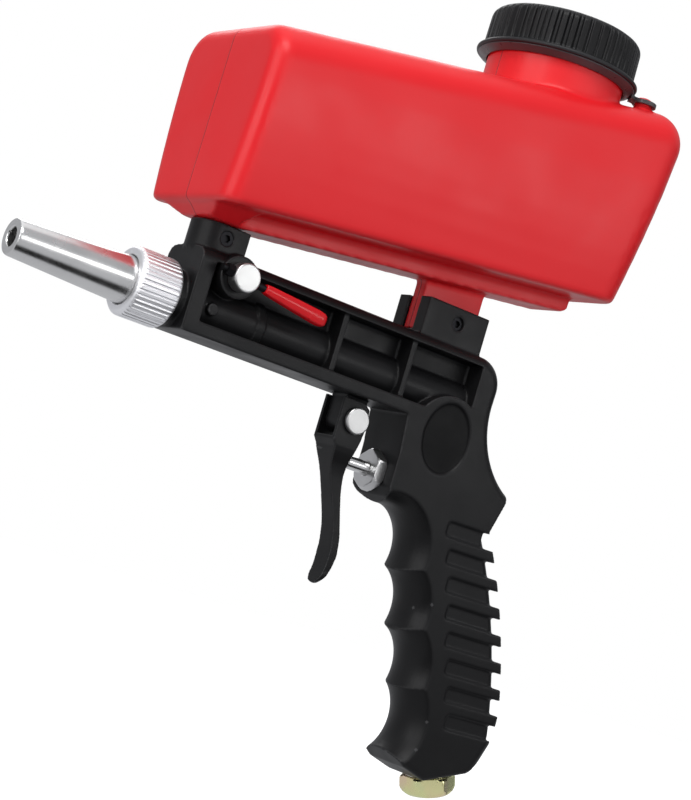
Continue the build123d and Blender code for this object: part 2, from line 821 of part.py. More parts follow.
def is_hopper_crown_edge(edge):
    """True for the edges along the hopper's top and round its back."""
    middle = edge.position_at(0.5)
    behind = middle.X > hopper_low_rear + 1 and middle.Z > 75
    above = middle.X < hopper_low_rear and middle.Z > 124
    return behind or above


def is_hopper_nose_edge(edge, inset):
    """True for the edges round the hopper's upright front face."""
    middle = edge.position_at(0.5)
    return abs(middle.X - hopper_front - inset) < 0.01 and middle.Z > 50


def is_hopper_floor_edge(edge, inset):
    """True for the edges along the hopper's floor line and across its low rear corner."""
    middle = edge.position_at(0.5)
    return middle.Z < hopper_bottom(hopper_low_rear) + inset + 1 and middle.X > hopper_front + inset + 10


def draft_hopper(inset):
    """A hopper body: the side view met by the cross view, which runs back and up with the floor line."""
    with BuildPart() as shape:
        with BuildSketch(Plane.XZ):
            with BuildLine():
                hopper_side_view(inset)
            make_face()
        extrude(amount=hopper_half + 1, both=True)
        with BuildSketch(Plane(origin=(hopper_front - 5, 0, -0.5), x_dir=(0, 1, 0), z_dir=(1, 0, 0))):
            with BuildLine():
                hopper_cross_view(inset)
            make_face()
        extrude(amount=260, dir=(cos(radians(bottom_slope)), 0, sin(radians(bottom_slope))), mode=Mode.INTERSECT)
        fillet(shape.edges().filter_by(is_hopper_crown_edge), crown_r - inset)
        fillet(shape.edges().filter_by(lambda e: is_hopper_nose_edge(e, inset)), nose_r - 0.8 * inset)
        fillet(shape.edges().filter_by(lambda e: is_hopper_floor_edge(e, inset)), floor_r)
    return shape.part


hopper_outside = draft_hopper(0.0)
hopper_inside = draft_hopper(hopper_wall)

chin_front = hopper_front + chin_setback
chin_plane = Plane(
    origin=(chin_front, 0, hopper_bottom(chin_front) + chin_sink),
    x_dir=(cos(radians(bottom_slope)), 0, sin(radians(bottom_slope))),
    z_dir=(-sin(radians(bottom_slope)), 0, cos(radians(bottom_slope))),
)

with BuildPart() as hopper:
    add(hopper_outside)
    with BuildSketch(Plane.XY.offset(hopper_top(neck_x) - 15)):
        with Locations((neck_x, 0)):
            Circle(neck_r)
    extrude(amount=neck_top - hopper_top(neck_x) + 15)
    # keel under the floor line, post for the rear bracket and spout for the front socket
    with BuildSketch(Plane.XZ):
        with BuildLine():
            FilletPolyline(
                (hopper_front + 1, front_bottom_z + keel_rise),
                (keel_front, socket_top + keel_clear),
                (keel_level_end, socket_top + keel_clear),
                (keel_rear, hopper_bottom(keel_rear) - keel_depth),
                (keel_rear, hopper_bottom(keel_rear) + keel_rise),
                radius=keel_end_r,
                close=True,
            )
        make_face()
    extrude(amount=keel_half, both=True)
    # chin: in front the nose runs down into the keel
    with BuildSketch(Plane.XY.offset(socket_top + keel_clear)):
        with Locations(((keel_front + chin_rear) / 2, 0)):
            Rectangle(chin_rear - keel_front, 2 * keel_half)
    with BuildSketch(chin_plane):
        with Locations((chin_length / 2, 0)):
            Rectangle(chin_length, 2 * chin_half)
    loft()
    with BuildSketch(Plane.XY.offset(slot_bottom + 0.4)):
        with Locations(((post_front + post_rear) / 2, 0)):
            Rectangle(post_rear - post_front, 2 * post_half)
    extrude(amount=hopper_bottom(post_front) - slot_bottom)
    with BuildSketch(Plane.XY.offset(socket_floor + 0.3)):
        with Locations((socket_x, 0)):
            Circle(socket_bore_r - 0.1)
    extrude(amount=19)
    with BuildSketch(Plane(origin=(peg_x, peg_y, hopper_top(peg_x) - 2), x_dir=(1, 0, 0), z_dir=(0, 0, 1))):
        Circle(peg_r)
    extrude(amount=7.6)

    # hollow: the inside, the neck and the spout
    add(hopper_inside, mode=Mode.SUBTRACT)
    with BuildSketch(Plane.XY.offset(hopper_top(neck_x) - 15)):
        with Locations((neck_x, 0)):
            Circle(neck_r - hopper_wall)
    extrude(amount=neck_top - hopper_top(neck_x) + 16, mode=Mode.SUBTRACT)
    with BuildSketch(Plane.XY.offset(socket_floor)):
        with Locations((socket_x, 0)):
            Circle(socket_bore_r - 2.2)
    extrude(amount=30, mode=Mode.SUBTRACT)
hopper.part.label = "hopper"
export_step(hopper.part, "parts/hopper.step")


# ================================================================ hopper cap and its tether
neck_axis = Axis((neck_x, 0, 0), (0, 0, 1))

with BuildPart() as hopper_cap:
    with BuildSketch(Plane.XZ):
        with BuildLine():
            Polyline(
                (neck_x, cap_top), (neck_x + cap_skirt_r - 2.5, cap_top), (neck_x + cap_skirt_r, cap_top - 2.5),
                (neck_x + cap_skirt_r, cap_lip_top), (neck_x + cap_lip_r, cap_lip_top),
                (neck_x + cap_lip_r, ring_top), (neck_x + cap_bore_r, ring_top), (neck_x + cap_bore_r, cap_under),
                (neck_x, cap_under), (neck_x, cap_top),
            )
        make_face()
    revolve(axis=neck_axis)
hopper_cap.part.label = "hopper_cap"
export_step(hopper_cap.part, "parts/hopper_cap.step")

with BuildPart() as cap_seal:
    with BuildSketch(Plane.XY.offset(neck_top + running)):
        with Locations((neck_x, 0)):
            Circle(cap_bore_r)
    extrude(amount=cap_under - neck_top - running)
cap_seal.part.label = "cap_seal"
export_step(cap_seal.part, "parts/cap_seal.step")

with BuildPart() as tether_ring:
    with BuildSketch(Plane.XY.offset(cap_flange_bottom)):
        with Locations((neck_x, 0)):
            Circle(ring_r)
            Circle(neck_r + 0.4, mode=Mode.SUBTRACT)
    extrude(amount=ring_top - cap_flange_bottom - running)
tether_ring.part.label = "tether_ring"
export_step(tether_ring.part, "parts/tether_ring.step")

# the strap climbs from its eye on the peg to the ring
with BuildPart() as tether_strap:
    with BuildSketch(Plane.XY.offset(strap_low)):
        with Locations((peg_x, peg_y)):
            Circle(eye_r)
        with BuildLine():
            Polyline(
                (peg_x - 3.0, peg_y - 4.0), (peg_x - 11.0, peg_y + 2.5), (peg_x - 7.0, peg_y + 8.0),
                (peg_x + 3.0, peg_y + 4.0), (peg_x - 3.0, peg_y - 4.0),
            )
        make_face()
    extrude(amount=ring_top - 0.4 - strap_low)
    with BuildSketch(Plane.XY.offset(strap_low + strap_thickness)):
        with Locations((peg_x, peg_y)):
            Circle(eye_r + 0.5)
    extrude(amount=10, mode=Mode.SUBTRACT)
    with BuildSketch(Plane.XY.offset(strap_low - 1)):
        with Locations((neck_x, 0)):
            Circle(ring_r + running)
        with Locations((peg_x, peg_y)):
            Circle(peg_r + running)
    extrude(amount=20, mode=Mode.SUBTRACT)
tether_strap.part.label = "tether_strap"
export_step(tether_strap.part, "parts/tether_strap.step")


# ================================================================ grub screws that hold the hopper
def grub_screw(x, z, outer_y, inner_y):
    """A headless screw lying across the gun, with a hex socket in its outer end."""
    with BuildPart() as screw:
        with BuildSketch(across(x, z, outer_y)):
            Circle(grub_r)
        extrude(amount=inner_y - outer_y)
        with BuildSketch(across(x, z, outer_y)):
            RegularPolygon(grub_key / 2, 6, major_radius=False)
        extrude(amount=grub_key_depth, mode=Mode.SUBTRACT)
    return screw


front_grub_screw = grub_screw(front_grub_x, front_grub_z, -socket_r + 0.5, -socket_bore_r)
front_grub_screw.part.label = "front_grub_screw"
export_step(front_grub_screw.part, "parts/front_grub_screw.step")

rear_grub_screw = grub_screw(rear_grub_x, rear_grub_z, -bracket_half + 1.4, -slot_half)
rear_grub_screw.part.label = "rear_grub_screw"
export_step(rear_grub_screw.part, "parts/rear_grub_screw.step")
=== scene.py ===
"""Looks for the gravity-feed blasting gun: materials, finely modelled pieces, studio light and the camera."""

import json
import math

import bmesh
import bpy
from mathutils import Matrix, Vector


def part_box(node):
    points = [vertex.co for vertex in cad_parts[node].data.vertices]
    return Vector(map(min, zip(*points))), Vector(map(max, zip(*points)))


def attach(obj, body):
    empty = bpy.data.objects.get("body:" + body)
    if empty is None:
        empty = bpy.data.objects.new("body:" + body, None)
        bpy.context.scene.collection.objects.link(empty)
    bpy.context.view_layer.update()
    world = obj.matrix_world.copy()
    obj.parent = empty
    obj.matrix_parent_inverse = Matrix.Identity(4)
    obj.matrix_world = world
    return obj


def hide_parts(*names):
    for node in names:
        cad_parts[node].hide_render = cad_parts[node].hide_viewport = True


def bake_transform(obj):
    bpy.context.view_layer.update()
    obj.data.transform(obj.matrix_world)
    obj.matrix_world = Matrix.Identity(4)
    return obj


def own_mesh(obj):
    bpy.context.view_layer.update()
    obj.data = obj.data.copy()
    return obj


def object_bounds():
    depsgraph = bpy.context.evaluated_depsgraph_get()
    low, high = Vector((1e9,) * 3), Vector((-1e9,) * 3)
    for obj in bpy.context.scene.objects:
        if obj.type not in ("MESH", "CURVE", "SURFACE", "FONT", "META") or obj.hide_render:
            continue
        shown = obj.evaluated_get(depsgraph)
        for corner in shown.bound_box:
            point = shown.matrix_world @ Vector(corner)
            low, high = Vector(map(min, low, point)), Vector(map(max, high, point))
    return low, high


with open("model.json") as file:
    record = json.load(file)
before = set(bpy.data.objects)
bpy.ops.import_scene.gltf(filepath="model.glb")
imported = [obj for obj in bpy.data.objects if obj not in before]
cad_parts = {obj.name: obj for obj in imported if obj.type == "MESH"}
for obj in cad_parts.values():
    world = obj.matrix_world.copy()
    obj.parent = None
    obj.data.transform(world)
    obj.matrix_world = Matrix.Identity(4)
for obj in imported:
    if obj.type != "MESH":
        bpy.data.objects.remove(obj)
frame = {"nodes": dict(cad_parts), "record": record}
cad_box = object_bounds()
scene = bpy.context.scene

# ------------------------------------------------------------------ camera
# the viewpoint is a little below the barrel, in front of the gun and to its left
# the camera is rolled, so the gun looks tilted
camera_data = bpy.data.cameras.new("camera")
camera_data.lens = 96.75
camera_data.sensor_width = 36.0
camera_data.clip_start = 0.05
camera = bpy.data.objects.new("camera", camera_data)
scene.collection.objects.link(camera)
viewpoint = Vector((-0.3416, -0.7721, -0.1033))
right = Vector((0.7828, -0.5533, 0.2848))
down = Vector((0.2886, -0.0828, -0.9539))
forward = Vector((0.5513, 0.8289, 0.0948))
turn = Matrix((right, -down, -forward)).transposed().to_4x4()
camera.matrix_world = Matrix.Translation(viewpoint) @ turn
scene.camera = camera

# ------------------------------------------------------------------ light and floor
scene.view_settings.view_transform = "Standard"
scene.view_settings.look = "None"


def area_light(name, place, target, size_x, size_y, power):
    """A soft rectangular studio light aimed at a point."""
    data = bpy.data.lights.new(name, "AREA")
    data.shape = "RECTANGLE"
    data.size = size_x
    data.size_y = size_y
    data.energy = power
    light = bpy.data.objects.new(name, data)
    light.location = place
    light.rotation_euler = (Vector(target) - Vector(place)).to_track_quat("-Z", "Y").to_euler()
    scene.collection.objects.link(light)


middle = (0.15, 0.0, 0.02)
area_light("key", (-0.45, -0.85, 1.15), middle, 1.1, 0.45, 12)
area_light("fill", (0.55, -1.15, 0.24), middle, 1.3, 0.22, 3.4)
area_light("front", (-1.4, -0.25, 0.3), middle, 0.5, 1.1, 5.4)
area_light("ridge", (-1.0, -0.72, 0.2), middle, 0.06, 0.9, 3.2)
area_light("back", (0.5, 1.1, 1.0), middle, 1.2, 0.5, 5)
area_light("top", (0.1, 0.1, 1.5), middle, 1.4, 1.4, 3.8)


def by_ray(tree, seen, mirrored, lighting):
    """Joins three shaders: one for what the camera sees, one for reflections, and one for all other light."""
    path = tree.nodes.new("ShaderNodeLightPath")
    unseen = tree.nodes.new("ShaderNodeMixShader")
    tree.links.new(path.outputs["Is Glossy Ray"], unseen.inputs[0])
    tree.links.new(lighting.outputs[0], unseen.inputs[1])
    tree.links.new(mirrored.outputs[0], unseen.inputs[2])
    mix = tree.nodes.new("ShaderNodeMixShader")
    tree.links.new(path.outputs["Is Camera Ray"], mix.inputs[0])
    tree.links.new(unseen.outputs[0], mix.inputs[1])
    tree.links.new(seen.outputs[0], mix.inputs[2])
    return mix.outputs[0]


def background(tree, colour, strength):
    made = tree.nodes.new("ShaderNodeBackground")
    made.inputs["Color"].default_value = (*colour, 1)
    made.inputs["Strength"].default_value = strength
    return made


def pale_world():
    """A plain white backdrop, with a softer grey surround for lighting and reflections."""
    world = bpy.data.worlds.new("studio")
    world.use_nodes = True
    tree = world.node_tree
    tree.nodes.clear()
    out = tree.nodes.new("ShaderNodeOutputWorld")
    seen = background(tree, (1, 1, 1), 1.0)
    mirrored = background(tree, (0.95, 0.96, 1.0), 0.5)
    lighting = background(tree, (0.93, 0.95, 1.0), 0.25)
    tree.links.new(by_ray(tree, seen, mirrored, lighting), out.inputs["Surface"])
    scene.world = world


pale_world()


# ------------------------------------------------------------------ materials
# the oval recess on each flank of the body, in the side view, and how far out its floor lies
pad_centre = (0.2192, -0.0174)
pad_half = (0.01275, 0.0160)
pad_floor_from = 0.0126
pad_floor_full = 0.0132
# Blender's pointiness where the painted highlight on an outer edge begins, and where it is at full strength
edge_from = 0.515
edge_full = 0.58


class Finish:
    """A Principled material with object-space patterns for its colour, roughness and bump."""

    def __init__(self, name, colour, roughness, metallic=0.0, coat=0.0, coat_roughness=0.1, specular=0.5):
        self.material = bpy.data.materials.new(name)
        self.material.use_nodes = True
        self.tree = self.material.node_tree
        self.shader = self.tree.nodes["Principled BSDF"]
        self.shader.inputs["Base Color"].default_value = (*colour, 1)
        self.shader.inputs["Roughness"].default_value = roughness
        self.shader.inputs["Metallic"].default_value = metallic
        self.shader.inputs["Coat Weight"].default_value = coat
        self.shader.inputs["Coat Roughness"].default_value = coat_roughness
        self.shader.inputs["Specular IOR Level"].default_value = specular
        self.place = self.tree.nodes.new("ShaderNodeTexCoord").outputs["Object"]
        self.colour = None
        self.normal = None
        self.base = colour

    def node(self, kind, **inputs):
        """A new shader node, its inputs named with underscores for spaces."""
        made = self.tree.nodes.new(kind)
        for key, value in inputs.items():
            self.feed(made.inputs[key.replace("_", " ")], value)
        return made

    def feed(self, socket, value):
        """Sets a socket to a constant, or links another node's output to it."""
        if isinstance(value, bpy.types.NodeSocket):
            self.tree.links.new(value, socket)
        else:
            socket.default_value = value

    def math(self, operation, first, second=0.0):
        made = self.tree.nodes.new("ShaderNodeMath")
        made.operation = operation
        self.feed(made.inputs[0], first)
        self.feed(made.inputs[1], second)
        return made.outputs[0]

    def stretched(self, scale):
        """Object coordinates scaled differently along each axis."""
        return self.node("ShaderNodeMapping", Vector=self.place, Scale=scale).outputs[0]

    def noise(self, scale, detail=2.0, vector=None):
        made = self.node("ShaderNodeTexNoise", Scale=scale, Detail=detail, Vector=vector or self.place)
        return made.outputs["Fac"]

    def spread(self, value, low, high, out_low=0.0, out_high=1.0):
        """The value mapped from one range to another, held inside it."""
        ends = {"From_Min": low, "From_Max": high, "To_Min": out_low, "To_Max": out_high}
        made = self.node("ShaderNodeMapRange", Value=value, **ends)
        return made.outputs[0]

    def tint(self, factor, colour):
        """Mixes another colour in where the factor is high."""
        made = self.tree.nodes.new("ShaderNodeMix")
        made.data_type = "RGBA"
        self.feed(made.inputs[0], factor)
        self.feed(made.inputs[6], self.colour or (*self.base, 1))
        made.inputs[7].default_value = (*colour, 1)
        self.colour = made.outputs[2]
        self.tree.links.new(self.colour, self.shader.inputs["Base Color"])

    def mottle(self, scale, detail, amount, colour, low=0.35, high=0.7):
        """Soft patches of another colour."""
        self.tint(self.spread(self.noise(scale, detail), low, high, 0, amount), colour)

    def rough(self, scale, detail, smoothest, roughest):
        """Roughness that wanders between two values."""
        wander = self.spread(self.noise(scale, detail), 0.3, 0.7, smoothest, roughest)
        self.tree.links.new(wander, self.shader.inputs["Roughness"])

    def bump(self, height, distance, strength=1.0):
        made = self.node("ShaderNodeBump", Height=height, Distance=distance, Strength=strength)
        if self.normal:
            self.tree.links.new(self.normal, made.inputs["Normal"])
        self.normal = made.outputs[0]
        self.tree.links.new(self.normal, self.shader.inputs["Normal"])

    def edges(self):
        """A mask of the outer edges, where a highlight is painted into the colour."""
        return self.spread(self.node("ShaderNodeNewGeometry").outputs["Pointiness"], edge_from, edge_full)

    def not_level(self):
        """A mask that leaves out level faces."""
        split = self.node("ShaderNodeSeparateXYZ")
        self.feed(split.inputs[0], self.node("ShaderNodeNewGeometry").outputs["True Normal"])
        return self.spread(self.math("ABSOLUTE", split.outputs["Z"]), 0.995, 0.98)

    def oval_pad(self):
        """A mask of the oval recess on each flank of the body."""
        split = self.node("ShaderNodeSeparateXYZ", Vector=self.place)
        along = self.math("DIVIDE", self.math("SUBTRACT", split.outputs["X"], pad_centre[0]), pad_half[0])
        up = self.math("DIVIDE", self.math("SUBTRACT", split.outputs["Z"], pad_centre[1]), pad_half[1])
        reach = self.math("ADD", self.math("MULTIPLY", along, along), self.math("MULTIPLY", up, up))
        depth = self.spread(self.math("ABSOLUTE", split.outputs["Y"]), pad_floor_from, pad_floor_full)
        return self.math("MULTIPLY", self.spread(reach, 1.0, 0.93), depth)

    def line_at_middle(self, half_width):
        """A mask of the thin mould line along the middle plane."""
        split = self.node("ShaderNodeSeparateXYZ", Vector=self.place)
        return self.spread(self.math("ABSOLUTE", split.outputs["Y"]), half_width, half_width * 0.4)


def moulded_black():
    made = Finish("body_black", (0.0058, 0.0058, 0.0063), 0.42)
    made.mottle(38, 4, 0.5, (0.011, 0.011, 0.0115))
    # painted highlight: the outer edges are lightened as if they catch the light
    made.tint(made.math("MULTIPLY", made.edges(), 0.6), (0.085, 0.085, 0.088))
    pad = made.oval_pad()
    made.tint(pad, (0.0028, 0.0028, 0.0031))
    made.tree.links.new(made.spread(pad, 0, 1, 0.2, 0.11), made.shader.inputs["Specular IOR Level"])
    made.rough(60, 5, 0.34, 0.48)
    made.bump(made.noise(1900, 3), 0.00006, 0.5)
    made.bump(made.noise(90, 2), 0.0003, 0.1)
    return made.material


def hopper_red():
    made = Finish("hopper_red", (0.81, 0.012, 0.018), 0.34, specular=0.36)
    made.mottle(14, 4, 0.5, (0.86, 0.017, 0.024))
    # painted highlight: pale pink on the outer edges
    made.tint(made.math("MULTIPLY", made.edges(), 0.55), (1.0, 0.16, 0.17))
    seam = made.line_at_middle(0.00045)
    made.tint(made.math("MULTIPLY", seam, 0.75), (0.36, 0.006, 0.010))
    made.rough(30, 5, 0.32, 0.46)
    made.bump(made.noise(1500, 3), 0.00005, 0.4)
    made.bump(made.noise(22, 2), 0.0012, 0.06)
    made.bump(seam, 0.00035, 0.8)
    return made.material


def cap_black():
    made = Finish("cap_black", (0.0045, 0.0045, 0.005), 0.4, specular=0.2)
    # painted highlight: the outer edges, leaving out level faces, are lightened
    painted_edge_highlight = made.math("MULTIPLY", made.edges(), made.not_level())
    made.tint(made.math("MULTIPLY", painted_edge_highlight, 0.6), (0.075, 0.075, 0.08))
    made.mottle(45, 4, 0.4, (0.010, 0.010, 0.0105), low=0.4)
    made.rough(70, 5, 0.34, 0.5)
    made.bump(made.noise(1700, 3), 0.00006, 0.45)
    return made.material


def rubber(name, colour, roughness=0.55):
    made = Finish(name, colour, roughness, specular=0.4)
    made.mottle(60, 4, 0.6, tuple(1.6 * c for c in colour))
    made.rough(120, 4, roughness - 0.08, roughness + 0.1)
    made.bump(made.noise(1300, 3), 0.00005, 0.5)
    return made.material


def turned_metal(name, colour, roughness, along="X", stroke=2600.0, depth=0.00001):
    """Metal with the fine marks that turning leaves: rings across the turning axis, and soft wear."""
    made = Finish(name, colour, roughness, metallic=1.0)
    scale = {"X": (stroke, 20, 20), "Y": (20, stroke, 20)}[along]
    marks = made.noise(1.0, 2, made.stretched(scale))
    made.mottle(55, 4, 0.5, tuple(0.82 * c for c in colour), 0.4, 0.75)
    made.rough(80, 5, roughness - 0.03, roughness + 0.04)
    made.bump(marks, depth, 0.5)
    return made.material


def zinc_yellow():
    """Yellow plating, with its soft pink and green bands."""
    made = Finish("zinc_yellow", (0.84, 0.88, 0.44), 0.2, metallic=1.0)
    made.mottle(48, 2, 1.0, (0.92, 0.76, 0.44), 0.42, 0.62)
    pink_bands = made.noise(60, 2, made.stretched((1, 1.4, 0.7)))
    made.tint(made.spread(pink_bands, 0.54, 0.72, 0, 0.6), (0.86, 0.52, 0.58))
    green_bands = made.noise(55, 2, made.stretched((1.3, 0.8, 1)))
    made.tint(made.spread(green_bands, 0.55, 0.72, 0, 0.55), (0.50, 0.78, 0.50))
    made.rough(160, 4, 0.2, 0.34)
    made.bump(made.noise(1400, 3), 0.00003, 0.4)
    return made.material


def lever_red():
    made = Finish("lever_red", (0.62, 0.003, 0.008), 0.24, coat=0.1, coat_roughness=0.1, specular=0.3)
    made.mottle(120, 3, 0.5, (0.70, 0.005, 0.011), low=0.4)
    made.rough(200, 4, 0.16, 0.28)
    made.bump(made.noise(420, 2), 0.00012, 0.2)
    return made.material


def white_floor():
    """Seen directly the floor is near white, as the backdrop is; as a reflector it is a mid grey."""
    made = Finish("floor", (0.5, 0.5, 0.5), 0.8, specular=0.0)
    made.mottle(3, 2, 0.3, (0.52, 0.52, 0.52), low=0.3)
    made.shader.inputs["Emission Color"].default_value = (1, 1, 1, 1)
    made.shader.inputs["Emission Strength"].default_value = 0.94
    dull = made.node("ShaderNodeBsdfDiffuse", Color=(0.34, 0.34, 0.35, 1))
    mirrored = made.node("ShaderNodeEmission", Color=(0.95, 0.96, 1.0, 1), Strength=0.6)
    surface = by_ray(made.tree, made.shader, mirrored, dull)
    made.tree.links.new(surface, made.tree.nodes["Material Output"].inputs["Surface"])
    return made.material


def dark_card():
    """A flat black, for the cards that polished metal reflects."""
    made = Finish("dark_card", (0.004, 0.004, 0.004), 0.9, specular=0.0)
    made.tint(made.noise(3, 2), (0.006, 0.006, 0.006))
    return made.material


finishes = {
    "body_black": moulded_black(),
    "hopper_red": hopper_red(),
    "cap_black": cap_black(),
    "tether_rubber": rubber("tether_rubber", (0.055, 0.055, 0.058), 0.32),
    "seal_rubber": rubber("seal_rubber", (0.012, 0.012, 0.012)),
    "jet_brass": turned_metal("jet_brass", (0.72, 0.50, 0.20), 0.25),
    "bright_pin": turned_metal("bright_pin", (0.53, 0.53, 0.525), 0.36, "Y", 1800.0, 0.00003),
    "bright_nut": turned_metal("bright_nut", (0.66, 0.66, 0.66), 0.3, "X", 2000.0, 0.00001),
    "spring_steel": turned_metal("spring_steel", (0.42, 0.42, 0.43), 0.3),
    "zinc_yellow": zinc_yellow(),
    "dark_screw": turned_metal("dark_screw", (0.02, 0.02, 0.022), 0.45, "Y", 1500.0, 0.00003),
    "nozzle_steel": turned_metal("nozzle_steel", (0.72, 0.72, 0.715), 0.24, "X", 3000.0, 0.000004),
    "nut_plated": turned_metal("nut_plated", (0.95, 0.95, 0.97), 0.42, "X", 2400.0, 0.00002),
    "lever_red": lever_red(),
}
node_slots = {part["node"]: part["material_slot"] for part in frame["record"]["subparts"]}
for name, thing in frame["nodes"].items():
    thing.data.materials.clear()
    thing.data.materials.append(finishes[node_slots[name]])


# ------------------------------------------------------------------ shape helpers
def add_piece(name, mesh, slot, body, replaced, sharp_angle):
    """Puts a finished mesh in the scene on its body, in the place of CAD nodes."""
    made = bpy.data.objects.new(name, mesh)
    scene.collection.objects.link(made)
    mesh.materials.clear()
    mesh.materials.append(finishes[slot])
    mesh.shade_smooth()
    mesh.set_sharp_from_angle(angle=math.radians(sharp_angle))
    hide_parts(*replaced)
    if body:
        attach(made, body)
    return made


def frame_along(origin, axis, first=(0, 1, 0)):
    """A placement whose local z runs along an axis."""
    z = Vector(axis).normalized()
    x = (Vector(first) - z * z.dot(Vector(first))).normalized()
    y = z.cross(x)
    return Matrix.Translation(Vector(origin)) @ Matrix((x, y, z)).transposed().to_4x4()


def mesh_from(shape, name):
    mesh = bpy.data.meshes.new(name)
    shape.to_mesh(mesh)
    shape.free()
    return mesh


def skin(shape, rings, closed=False):
    """Quads between neighbouring rings, joined end to start or with a flat face at each end."""
    pairs = list(zip(rings, rings[1:]))
    if closed:
        pairs.append((rings[-1], rings[0]))
    for first, second in pairs:
        for number in range(len(first)):
            after = (number + 1) % len(first)
            shape.faces.new((first[number], first[after], second[after], second[number]))
    if not closed:
        shape.faces.new(list(reversed(rings[0])))
        shape.faces.new(rings[-1])
    bmesh.ops.recalc_face_normals(shape, faces=shape.faces)


def turned(name, rows, place, segments, closed=True):
    """A mesh turned about local z: each row is a height and a radius, or a function from angle to radius."""
    shape = bmesh.new()
    rings = []
    for height, radius in rows:
        ring = []
        for number in range(segments):
            angle = 2 * math.pi * number / segments
            r = radius(angle) if callable(radius) else radius
            ring.append(shape.verts.new(place @ Vector((r * math.cos(angle), r * math.sin(angle), height))))
        rings.append(ring)
    skin(shape, rings, closed)
    return mesh_from(shape, name)


def rounded(points, radius, steps=5):
    """A closed outline of (height, radius) points with each corner rounded."""
    result = []
    count = len(points)
    for number, corner in enumerate(points):
        before = Vector(points[number - 1])
        after = Vector(points[(number + 1) % count])
        here = Vector(corner)
        to_before = before - here
        to_after = after - here
        reach = min(radius, 0.45 * to_before.length, 0.45 * to_after.length)
        start = here + to_before.normalized() * reach
        end = here + to_after.normalized() * reach
        for step in range(steps + 1):
            t = step / steps
            point = start * (1 - t) ** 2 + here * 2 * t * (1 - t) + end * t ** 2
            result.append((point.x, point.y))
    return result


def softened(name, node, slot, body, voxel, smoothing, keep):
    """A copy of a CAD solid with its edges rounded as moulding leaves them, thinned to a share of its faces."""
    source = frame["nodes"][node]
    made = bpy.data.objects.new(name, source.data.copy())
    scene.collection.objects.link(made)
    shape = bmesh.new()
    shape.from_mesh(made.data)
    bmesh.ops.remove_doubles(shape, verts=shape.verts, dist=0.000001)
    shape.to_mesh(made.data)
    shape.free()
    bpy.context.view_layer.objects.active = made
    remesh = made.modifiers.new("remesh", "REMESH")
    remesh.mode = "VOXEL"
    remesh.voxel_size = voxel
    smooth = made.modifiers.new("smooth", "SMOOTH")
    smooth.factor = 0.5
    smooth.iterations = smoothing
    thin = made.modifiers.new("thin", "DECIMATE")
    thin.ratio = keep
    evaluated = made.evaluated_get(bpy.context.evaluated_depsgraph_get())
    mesh = bpy.data.meshes.new_from_object(evaluated)
    bpy.data.objects.remove(made)
    add_piece(name, mesh, slot, body, [node], 180)


def settle_modifiers(made):
    """Replaces an object's mesh by what its modifiers make of it."""
    evaluated = made.evaluated_get(bpy.context.evaluated_depsgraph_get())
    made.data = bpy.data.meshes.new_from_object(evaluated)
    made.modifiers.clear()


def centre_and_size(node):
    low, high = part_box(node)
    return (low + high) / 2, high - low


# ------------------------------------------------------------------ moulded body, trigger and hopper
softened("body_moulding", "gun_body", "body_black", "gun", voxel=0.0005, smoothing=4, keep=0.35)
softened("trigger_moulding", "trigger", "body_black", "trigger_body", voxel=0.00035, smoothing=5, keep=0.35)
softened("hopper_moulding", "hopper", "hopper_red", "gun", voxel=0.0010, smoothing=6, keep=0.4)

# ------------------------------------------------------------------ nozzle and its knurled nut
low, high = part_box("nozzle")
nozzle_length = high.x - low.x
bore = 0.004
collar = 0.0117
nozzle_rows = rounded([
    (0.0, bore + 0.0004), (0.0, 0.00745), (0.0011, 0.0078), (0.0535, 0.01026), (0.0565, 0.01028),
    (0.0566, collar), (nozzle_length, collar), (nozzle_length, bore), (0.0006, bore),
], 0.0005)
nozzle_place = frame_along((low.x, 0, 0), (1, 0, 0))
add_piece("nozzle_tube", turned("nozzle_tube", nozzle_rows, nozzle_place, 128),
          "nozzle_steel", "nozzle_body", ["nozzle"], 30)

low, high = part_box("nozzle_nut")
nut_length = high.x - low.x
nut_radius = (high.z - low.z) / 2
ridge_count = 42
ridge_steps = 14


def knurled(angle):
    """The nut's radius by angle: broad rounded ridges with narrow grooves between."""
    across = (angle * ridge_count / (2 * math.pi)) % 1.0 - 0.5
    groove = 0.00052 * math.exp(-(across / 0.16) ** 2)
    crown = 0.00012 * (1 - math.cos(2 * math.pi * across)) / 2
    return nut_radius - 0.00006 - groove - crown


def knurl_faded(amount, shrink):
    """The knurl run out toward the nut's ends: how much of it is left, and how far the radius shrinks."""
    return lambda angle: (nut_radius - shrink) * (1 - amount) + (knurled(angle) - shrink) * amount


front_hole = 0.01062
thread_radius = 0.01206
nut_rows = [
    (0.0041, front_hole), (0.0004, front_hole), (0.0, 0.0110), (0.0, 0.0131), (0.00015, 0.01345),
    (0.0006, knurl_faded(0.0, 0.0011)), (0.0011, knurl_faded(0.25, 0.00055)),
    (0.0016, knurl_faded(0.8, 0.00015)), (0.0023, knurled), (nut_length / 2, knurled),
    (nut_length - 0.0018, knurled), (nut_length - 0.0009, knurl_faded(0.7, 0.0002)),
    (nut_length - 0.0003, knurl_faded(0.2, 0.0007)),
    (nut_length, 0.0139), (nut_length, 0.0125), (nut_length - 0.0005, thread_radius), (0.0045, thread_radius),
    (0.0041, 0.0118),
]
nut_place = frame_along((low.x, 0, 0), (1, 0, 0))
add_piece("nozzle_nut_knurled", turned("nozzle_nut_knurled", nut_rows, nut_place, ridge_count * ridge_steps),
          "nut_plated", "nut_body", ["nozzle_nut"], 45)

# ------------------------------------------------------------------ hopper cap, ring and strap
cap_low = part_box("hopper_cap")[0]
cap_centre, cap_size = centre_and_size("hopper_cap")
lip_radius = cap_size.x / 2
skirt_radius = lip_radius - 0.0026
cap_height = cap_size.z
rib_groups = 44
rib_steps = 24


